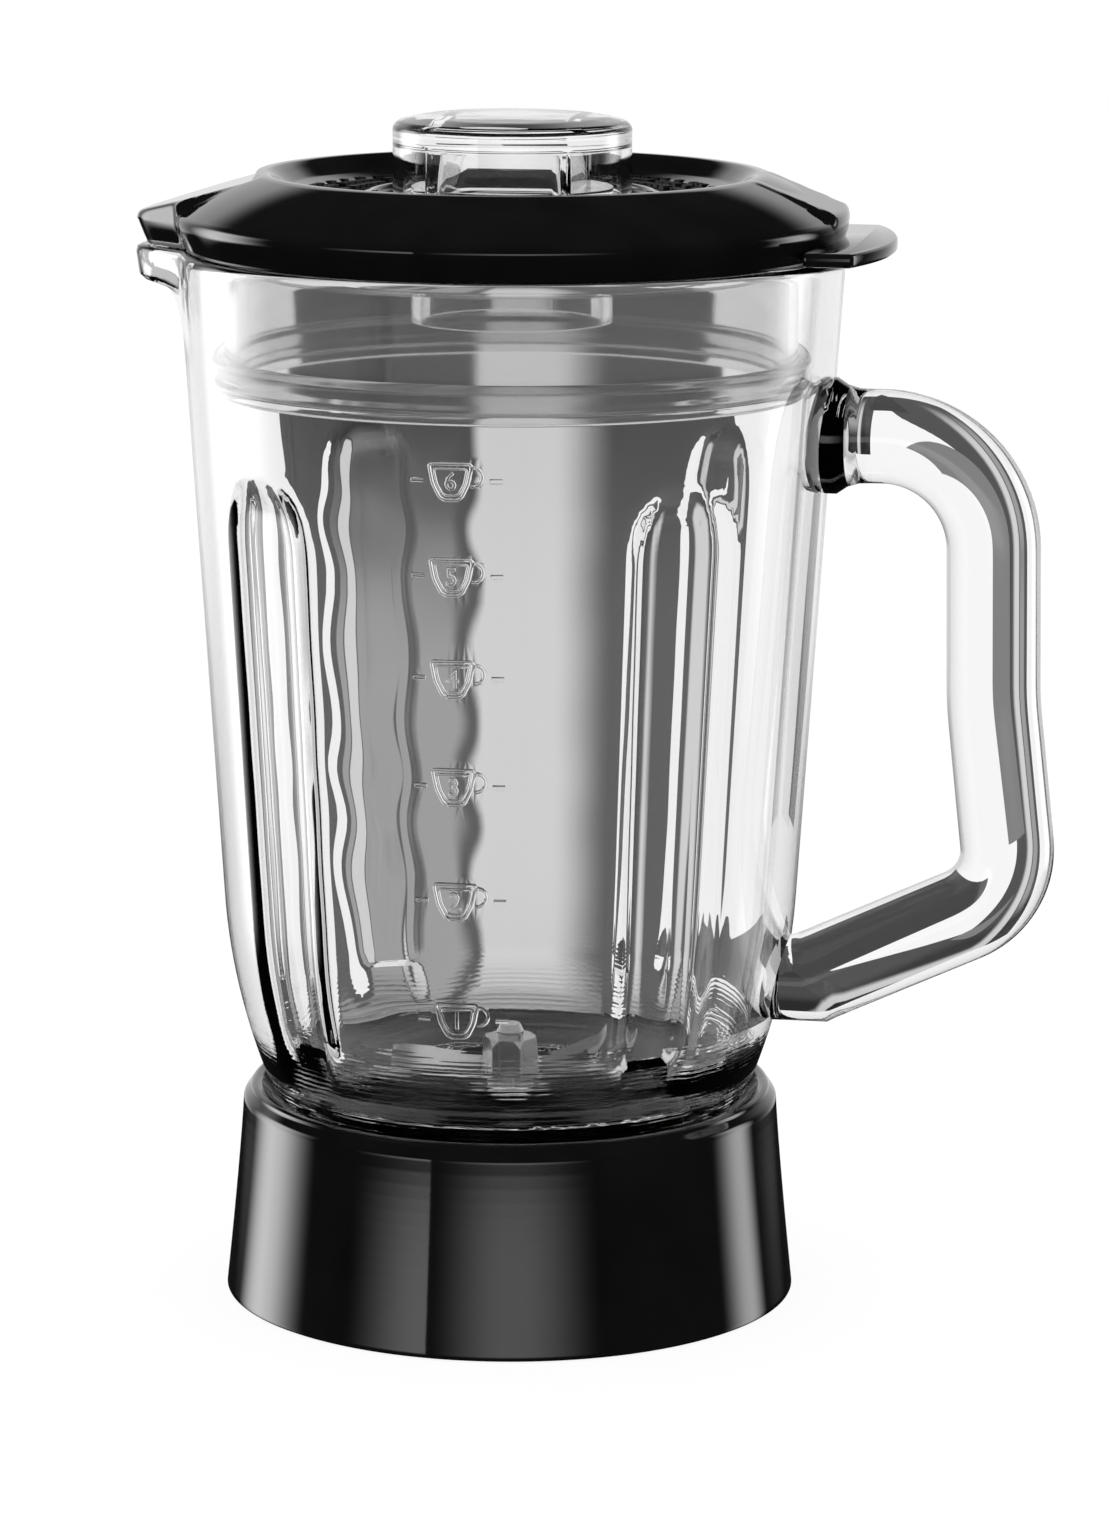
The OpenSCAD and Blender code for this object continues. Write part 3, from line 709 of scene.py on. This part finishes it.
# ---------------------------------------------------------------- collar
def collar_outline():
    """The collar's section in r and z: up the outside, over the rim, down the sleeve and the inside."""
    def side(z):
        return COLLAR_TOP_R + (COLLAR_R - COLLAR_TOP_R) * max(0.0, 1 - z / (COLLAR_H - 2)) ** 1.2

    sleeve_r, sleeve_out, sleeve_foot, ledge_r, ledge_z = 42.3, 45.5, 14, 36.5, 18.4
    roof_z, mouth_r = 35.8, 59
    outside = [(side(z), z) for z in [0] + span(1.5, COLLAR_H - 3.4, 3)]
    rim = [
        (COLLAR_TOP_R - 0.25, COLLAR_H - 2.6), (57.0, COLLAR_H - 1.1), (56.9, COLLAR_H - 0.5),
        (56.0, COLLAR_H), (54.8, COLLAR_H - 0.3)
    ]
    funnel = [(52.4, 42.4), (50.0, 40.0), (48.2, 38.8), (sleeve_r, 38.8)]
    sleeve = [
        (sleeve_r, ledge_z), (ledge_r, ledge_z), (ledge_r, sleeve_foot), (sleeve_out, sleeve_foot),
        (sleeve_out, roof_z)
    ]
    inside = [(54.5, roof_z), (55.8, 34), (58, 12), (mouth_r, 6), (mouth_r, 0)]
    return outside + rim + funnel + sleeve + inside


def base_collar():
    turned = revolve("base_collar_visual", collar_outline(), MATERIALS["gloss_black"], 0.35, 256)
    ribs = thread_ribs(42.6, -2.6, 31, 40)
    bosses = []
    for a in (90, 210, 330):
        x, y, _ = polar(48.8, math.radians(a), 0)
        bosses.append(prism("boss", circle_plan(4, 32, x, y), 14, 36, MATERIALS["gloss_black"]))
    whole = join("base_collar_visual", [turned] + ribs + bosses)
    finish_shading(whole, 50)
    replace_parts(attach(whole, "collar"), "base_collar")


# ---------------------------------------------------------------- lid
def lid_plan(angle):
    """Radius of the lid's side: a circle with the pointed nose over the pouring lip."""
    return max(LID_R, lip_plan(angle, 0.3))


def lid_top(x, y):
    """Height of the lid outside its ring: the shoulder, the flat nose and the flat ridge to the tab."""
    out = min(math.hypot(x, y), 73) - RING_R
    z = LID_TOP_Z - 0.1 - 0.36 * out - 0.0085 * out * out
    nose = 245.1 - 0.29 * (-x - 50)
    z += (nose - z) * (1 - smooth(abs(y), 20.2, 22.4)) * smooth(-x, 48, 52)
    ridge = 245.2 - 0.4 * (x - RING_R)
    z += max(0.0, ridge - z) * (1 - smooth(abs(y), 12.0, 13.2)) * smooth(x, 50, 54)
    return z


# Outlines in r and z: the dish from the filler hole to the ring, and the filler tube seen from below
DISH_OUTLINE = [
    (FILLER_R, 238.5), (FILLER_R, 240.0), (29.2, 240.3), (29.6, 241.5), (31.8, 241.5), (32.2, DISH_Z),
    (44, 240.9), (48.2, 242.2), (51.0, 244.7), (52.4, LID_TOP_Z), (RING_R, LID_TOP_Z - 0.1)
]
TUBE_OUTLINE = [(48, 239.2), (44, 238.2), (25, 237.8), (24, 237), (24, 224), (FILLER_R, 224)]
# Inset from the lid's plan and height, down the leaning side, round its foot and up inside
SIDE_OUTLINE = [
    (0.25, 234.3), (0.8, 232.8), (1.45, 231.2), (1.95, LID_FOOT_Z + 0.9), (2.2, LID_FOOT_Z + 0.2),
    (2.5, LID_FOOT_Z), (2.8, LID_FOOT_Z + 0.2), (2.9, LID_FOOT_Z + 1), (3.2, 233)
]
# How far outward and down the round edge runs from the shoulder to the side
EDGE_STEPS = [(0.6, 0.35), (1.05, 0.95), (EDGE_R, 1.9)]
# Share of the way out from the ring, and thickness there, on the underside of the shoulder
UNDERSIDE = [(0.9, 3.4), (0.6, 3.2), (0.3, 3.0), (0.0, 2.8)]


def lid_shell(segments=384):
    """The lid as one closed skin, from the filler hole over the top and back underneath."""
    angles = [TURN * j / segments for j in range(segments)]

    def turned(outline, radius):
        return [[polar(r, a, z) for a in angles] for r, z in round_corners(outline, radius, loop=False)]

    def shoulder(share, inset, drop):
        """A ring at a share of the way from the ring to the lid's side, less inset, drop below the top."""
        ring = []
        for a in angles:
            x, y, _ = polar(RING_R + (lid_plan(a) - inset - RING_R) * share, a, 0)
            ring.append((x, y, lid_top(x, y) - drop))
        return ring

    rings = turned(DISH_OUTLINE, 0.6)
    rings += [shoulder(share, EDGE_R, 0.0) for share in span(0.06, 1, 0.05)]
    edge = rings[-1]
    for outward, drop in EDGE_STEPS:
        radii = [lid_plan(a) - EDGE_R + outward for a in angles]
        rings.append([polar(r, a, top[2] - drop) for r, a, top in zip(radii, angles, edge)])
    rings += [[polar(lid_plan(a) - inset, a, z) for a in angles] for inset, z in SIDE_OUTLINE]
    rings += [shoulder(share, 5.5, thickness) for share, thickness in UNDERSIDE]
    rings += turned(TUBE_OUTLINE, 0.4)
    return make_object("lid_shell", *skin(rings), MATERIALS["gloss_black"], 28)


def thumb_tab():
    """Flat rounded tab on the handle side, by which the lid is lifted."""
    root_x, half_w, corner_r = 66, 31, 7
    reach_angle = math.asin(half_w / LID_REACH)
    arc = [polar(LID_REACH, a, 0)[:2] for a in span(-reach_angle, reach_angle, 0.03)]
    radii = [0, corner_r] + [0] * (len(arc) - 2) + [corner_r, 0]
    outline = round_corners([(root_x, -half_w)] + arc + [(root_x, half_w)], radii, steps=6)
    tab = prism("tab", outline, 229.6, 232.6, MATERIALS["gloss_black"])
    bevel_edges(tab, 0.9, 3)
    return tab


def dash_arc(radius, start, length):
    """Vertices of one short raised dash in the dish, on a radius, from a start angle in degrees."""
    half_w, sunk, rise = 1.15, 0.4, 0.35
    base = DISH_Z + 0.1 + 0.5 * (radius - 32) / 12
    low, high = radius - half_w, radius + half_w
    end = start + math.degrees(length / radius)
    corners = ((low, start), (high, start), (high, end), (low, end))
    return [polar(r, math.radians(a), base + up) for up in (-sunk, rise) for r, a in corners]


def lid_marks():
    """Three arcs of short raised dashes, where such a lid carries moulded notes. They spell nothing."""
    vertices, faces = [], []
    for row, radius in enumerate((37.2, 41.2, 45.0)):
        position, count = 100.0 + 3 * row, 0
        while position < 440 - 3 * row:
            count += 1
            length = 1.4 + 1.1 * abs(math.sin(count * 2.3 + row * 1.7))
            in_word_gap = count % (6 + (count * row) % 3) == 0
            in_front_gap = 252 < position < 288
            if not (in_word_gap or in_front_gap):
                n = len(vertices)
                vertices += dash_arc(radius, position, length)
                faces += [(n, n + 1, n + 2, n + 3), (n + 4, n + 5, n + 6, n + 7)]
                faces += [(n + i, n + (i + 1) % 4, n + 4 + (i + 1) % 4, n + 4 + i) for i in range(4)]
            position += math.degrees((length + 0.55) / radius)
    marks = make_object("lid_marks", vertices, faces, MATERIALS["mark_black"])
    bevel_edges(marks, 0.1, 1)
    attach(marks, "lid")


def lid():
    whole = join("lid_cover_visual", [lid_shell(), thumb_tab()])
    finish_shading(whole, 28)
    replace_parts(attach(whole, "lid"), "lid_cover")
    lid_marks()


def lid_skirt():
    inner, foot, lip_h = SKIRT_R - SKIRT_WALL, SKIRT_FOOT_Z, 2
    flange_r, flange_z, flange_h = 68.4, LID_FOOT_Z + 0.1, 1.8
    skirt = revolve("lid_skirt_visual", [
        (inner, foot), (SKIRT_R + 1.2, foot), (SKIRT_R + 1.2, foot + lip_h), (SKIRT_R, foot + lip_h),
        (SKIRT_R, flange_z), (flange_r, flange_z), (flange_r, flange_z + flange_h),
        (inner, flange_z + flange_h)
    ], MATERIALS["smoke"], 0.5)
    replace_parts(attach(skirt, "lid"), "lid_skirt")


def lid_gasket():
    """Ring with a flared sealing lip, round the foot of the skirt."""
    z, bore_r = SKIRT_FOOT_Z + 2.1, SKIRT_R + 0.05
    gasket = revolve("lid_gasket_visual", [
        (bore_r, z), (63.3, z), (64.1, z + 1.2), (63.3, z + 2.4), (63.5, z + 4), (64.5, z + 6.2),
        (63.8, z + 6.8), (63.0, z + 4.6), (bore_r, z + 6.4)
    ], MATERIALS["silicone"], 0.4)
    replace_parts(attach(gasket, "lid"), "lid_gasket")


# ---------------------------------------------------------------- measuring cup
def rounded_box(half_x, half_y):
    corners = [(-half_x, -half_y), (half_x, -half_y), (half_x, half_y), (-half_x, half_y)]
    return round_corners(corners, 1.5, steps=4)


def cap_outline(seat, under, edge):
    """The cap's section in r and z: its inside, its side and its domed top."""
    inner_r = CAP_R - 2.2
    return [
        (0, under), (8, under), (inner_r, under), (inner_r, seat), (CAP_R, seat), (CAP_R, edge - 3.9),
        (CAP_R + 0.05, edge - 1.2), (CAP_R - 1.2, edge), (CAP_R - 6, edge + 1.0), (8, CAP_TOP_Z - 0.05),
        (0, CAP_TOP_Z)
    ]


def measuring_cup():
    """Clear cap with a square well under it and a round tube down into the filler hole."""
    seat = DISH_Z + 0.2
    edge = CAP_TOP_Z - 1.6
    under = edge - 4.6
    tube_r = FILLER_R - 0.4
    half_x, half_y = WELL_HALF
    outline = cap_outline(seat, under, edge)
    well = rounded_box(half_x - CUP_WALL, half_y - CUP_WALL)
    cap = revolve_solid("measuring_cup_visual", outline, MATERIALS["clear_plastic"], 0.9, 160, 40)
    combine(cap, [
        prism("walls", rounded_box(half_x, half_y), seat - 0.1, under + 0.4),
        prism("tube", circle_plan(tube_r, 96), CUP_FOOT_Z, seat + 2),
    ], "UNION", 40)
    combine(cap, [
        prism("well", well, seat - 1, under - 0.8, top_scale=0.94),
        prism("bore", circle_plan(tube_r - CUP_WALL, 96), CUP_FOOT_Z - 1, seat),
    ], "DIFFERENCE", 40)
    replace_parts(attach(cap, "cup"), "measuring_cup")


# ---------------------------------------------------------------- carried-over CAD pieces
NODE_MATERIALS = {
    "lock_ring": "grey", "lock_ring_screws": "steel", "blade_carrier": "matt_black", "upper_bush": "bronze",
    "lower_bush": "bronze", "shaft_seal": "rubber", "seal_cover": "steel", "blade_shaft": "steel",
    "hub_collar": "steel", "lower_blades": "blade_steel", "blade_spacer": "steel",
    "upper_blades": "blade_steel", "blade_washer": "steel", "blade_nut": "steel", "thrust_washer": "bronze",
    "circlip": "steel", "coupler_insert": "steel", "drive_coupler": "coupler", "jug_seal": "rubber",
}


def paint_frame():
    for node, key in NODE_MATERIALS.items():
        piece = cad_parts[node]
        for slot in piece.material_slots:
            slot.material = MATERIALS[key]


# ---------------------------------------------------------------- stage
def place_camera():
    """A long lens in front of the jug, a little above it and turned a little towards the handle side."""
    distance, height = 1.198, 0.3573
    yaw, pitch, roll = math.radians(0.45), math.radians(-11.37), math.radians(0.23)
    ahead = Vector((math.sin(yaw) * math.cos(pitch), math.cos(yaw) * math.cos(pitch), math.sin(pitch)))
    level = ahead.cross(Vector((0, 0, 1))).normalized()
    above = level.cross(ahead)
    right = level * math.cos(roll) + above * math.sin(roll)
    up = above * math.cos(roll) - level * math.sin(roll)
    aim = Matrix((right, up, -ahead)).transposed()
    data = bpy.data.cameras.new("camera")
    data.lens = 131.95
    data.sensor_width = 36
    data.clip_start, data.clip_end = 0.05, 20
    camera = bpy.data.objects.new("camera", data)
    bpy.context.scene.collection.objects.link(camera)
    stand = Matrix.Translation((0, -distance, height)) @ aim.to_4x4()
    camera.matrix_world = Matrix.Rotation(CAMERA_AZIMUTH, 4, "Z") @ stand
    bpy.context.scene.camera = camera


class Nodes:
    """Short way to write sums in a node tree."""

    def __init__(self, tree):
        self.tree = tree

    def math(self, operation, a, b=0.0):
        node = self.tree.nodes.new("ShaderNodeMath")
        node.operation = operation
        for socket, value in zip(node.inputs, (a, b)):
            if isinstance(value, (int, float)):
                socket.default_value = value
            else:
                self.tree.links.new(value, socket)
        return node.outputs["Value"]

    def step(self, value, low, high):
        """0 at low and 1 at high, eased."""
        node = self.tree.nodes.new("ShaderNodeMapRange")
        node.interpolation_type = "SMOOTHSTEP"
        node.inputs["From Min"].default_value = low
        node.inputs["From Max"].default_value = high
        self.tree.links.new(value, node.inputs["Value"])
        return node.outputs["Result"]

    def band(self, value, low, high, soft_low, soft_high):
        """1 between low and high, fading over the two soft widths outside."""
        rise = self.step(value, low - soft_low, low)
        fall = self.step(value, high + soft_high, high)
        return self.math("MULTIPLY", rise, fall)

    def glow(self, base, *terms):
        """Base value plus the sum of (mask, mask, ..., strength) products."""
        total = base
        for term in terms:
            value = term[0]
            for factor in term[1:]:
                value = self.math("MULTIPLY", value, factor)
            total = self.math("ADD", total, value)
        return total

    def turned_axes(self, output):
        """X, Y and Z of a texture coordinate output, turned so that -Y points to the front of the stage."""
        coordinates = self.tree.nodes.new("ShaderNodeTexCoord")
        turn = self.tree.nodes.new("ShaderNodeMapping")
        turn.inputs["Rotation"].default_value = (0, 0, -CAMERA_AZIMUTH)
        split = self.tree.nodes.new("ShaderNodeSeparateXYZ")
        self.tree.links.new(coordinates.outputs[output], turn.inputs["Vector"])
        self.tree.links.new(turn.outputs["Vector"], split.inputs["Vector"])
        return split.outputs


def gloss_light(n, azimuth, level, away):
    """What shiny surfaces see: a dark room with two tall side lights, a front light with a hard right
    edge beside a wider soft one, and the bright wall behind."""
    side_height = n.band(level, -12, 14, 10, 13)
    front_height = n.band(level, -5.5, 3, 4.5, 5)
    wall_height = n.band(level, -10, 22, 4, 10)
    return n.glow(
        0.012,
        (n.band(azimuth, -119, -115, 24, 25), side_height, 5.2),
        (n.band(azimuth, 112, 114, 17, 14), side_height, 3.8),
        (n.band(azimuth, -36, -33.6, 34, 0.5), front_height, 2.3),
        (n.band(azimuth, -1, 4, 32, 34), front_height, 1.85),
        (n.step(away, 125, 160), wall_height, 0.9),
    )


def light_studio():
    """White surroundings for the eye, lighter behind than in front for light that passes through clear
    pieces, soft light from above for dull surfaces, and the lit room of gloss_light for shiny ones."""
    world = bpy.data.worlds.new("studio")
    bpy.context.scene.world = world
    world.use_nodes = True
    tree = world.node_tree
    n = Nodes(tree)
    x, y, z = n.turned_axes("Generated")
    # degrees from the front of the room, positive to the right, and degrees above the horizon
    azimuth = n.math("MULTIPLY", n.math("ARCTAN2", x, n.math("MULTIPLY", y, -1.0)), 180 / math.pi)
    level = n.math("MULTIPLY", n.math("ARCSINE", z), 180 / math.pi)
    away = n.math("ABSOLUTE", azimuth)
    gloss = gloss_light(n, azimuth, level, away)
    through = n.glow(0.5, (n.step(away, 90, 150), 0.5))
    soft = n.glow(0.2, (n.step(level, -60, 60), 1.0))
    path = tree.nodes.new("ShaderNodeLightPath")
    is_through = path.outputs["Is Transmission Ray"]
    # a bent ray counts as a glossy one as well
    only_gloss = n.math("MULTIPLY", path.outputs["Is Glossy Ray"], n.math("SUBTRACT", 1.0, is_through))
    value = n.glow(
        0.0,
        (only_gloss, gloss),
        (is_through, through),
        (path.outputs["Is Diffuse Ray"], soft),
        (path.outputs["Is Camera Ray"], 1.0),
    )
    background = tree.nodes["Background"]
    background.inputs["Color"].default_value = (1, 1, 1, 1)
    tree.links.new(value, background.inputs["Strength"])


def light_card(name, corners):
    """Card that only light passing through clear pieces can see, placed from the front of the stage.
    Returns its node helper and its light's strength socket."""
    cos_t, sin_t = math.cos(CAMERA_AZIMUTH), math.sin(CAMERA_AZIMUTH)
    turned = [(x * cos_t - y * sin_t, x * sin_t + y * cos_t, z) for x, y, z in corners]
    card = make_object(name, turned, [(0, 1, 2, 3)])
    card.visible_camera = False
    card.visible_glossy = False
    card.visible_diffuse = False
    card.visible_shadow = False
    material = bpy.data.materials.new(name)
    material.use_nodes = True
    tree = material.node_tree
    tree.nodes.clear()
    output = tree.nodes.new("ShaderNodeOutputMaterial")
    light = tree.nodes.new("ShaderNodeEmission")
    tree.links.new(light.outputs["Emission"], output.inputs["Surface"])
    card.data.materials.append(material)
    return Nodes(tree), light.inputs["Strength"]


def backdrop_card():
    """Grey card behind the jug: darker towards the top, with a light upright streak right of the middle."""
    distance = 350
    outline = [(-66, -280), (88, -280), (88, 236), (-104, 236)]
    n, strength = light_card("backdrop_card", [(x, distance, z) for x, z in outline])
    x, _, z = n.turned_axes("Object")
    side = n.band(x, -0.052, -0.022, 0.012, 0.006)
    streak = n.band(x, -0.010, 0.014, 0.005, 0.022)
    value = n.glow(
        0.028,
        (n.step(z, 0.15, 0.08), 0.05),
        (side, n.step(z, -0.2, -0.05), n.step(z, 0.145, 0.07), 0.27),
        (streak, n.step(z, -0.2, 0.03), 0.62),
    )
    n.tree.links.new(value, strength)


def handle_cards():
    """Dark card low behind the handle, and a grey strip close behind its upright run."""
    # painted shade: this dim card stands in for the shaded floor behind the jug, as seen through the glass
    _, floor_shade_strength = light_card("floor_shade_card", [(74, 40, -2), (190, 40, -2), (190, 320, -2), (74, 320, -2)])
    floor_shade_strength.default_value = 0.05
    outline = [(93, 84), (113, 84), (111, 186), (93, 186)]
    _, upright_strength = light_card("upright_card", [(x, 72, z) for x, z in outline])
    upright_strength.default_value = 0.22


def floor():
    """Pale floor just under the collar, bright enough by itself to melt into the white behind."""
    half, below = 3000, -0.3
    corners = [(x, y, below) for x, y in ((-half, -half), (half, -half), (half, half), (-half, half))]
    piece = make_object("floor", corners, [(0, 1, 2, 3)])
    material = bpy.data.materials.new("floor")
    material.use_nodes = True
    tree = material.node_tree
    tree.nodes.clear()
    output = tree.nodes.new("ShaderNodeOutputMaterial")
    light = tree.nodes.new("ShaderNodeEmission")
    light.inputs["Strength"].default_value = 0.9
    paint = tree.nodes.new("ShaderNodeBsdfDiffuse")
    paint.inputs["Color"].default_value = (*grey(0.12), 1)
    add = tree.nodes.new("ShaderNodeAddShader")
    tree.links.new(light.outputs["Emission"], add.inputs[0])
    tree.links.new(paint.outputs["BSDF"], add.inputs[1])
    tree.links.new(add.outputs["Shader"], output.inputs["Surface"])
    piece.data.materials.append(material)
    piece.visible_glossy = False
    piece.visible_transmission = False
    piece.visible_diffuse = False


bpy.context.scene.view_settings.view_transform = "Standard"
place_camera()
glass_jug()
base_collar()
lid()
lid_skirt()
lid_gasket()
measuring_cup()
paint_frame()
light_studio()
backdrop_card()
handle_cards()
floor()
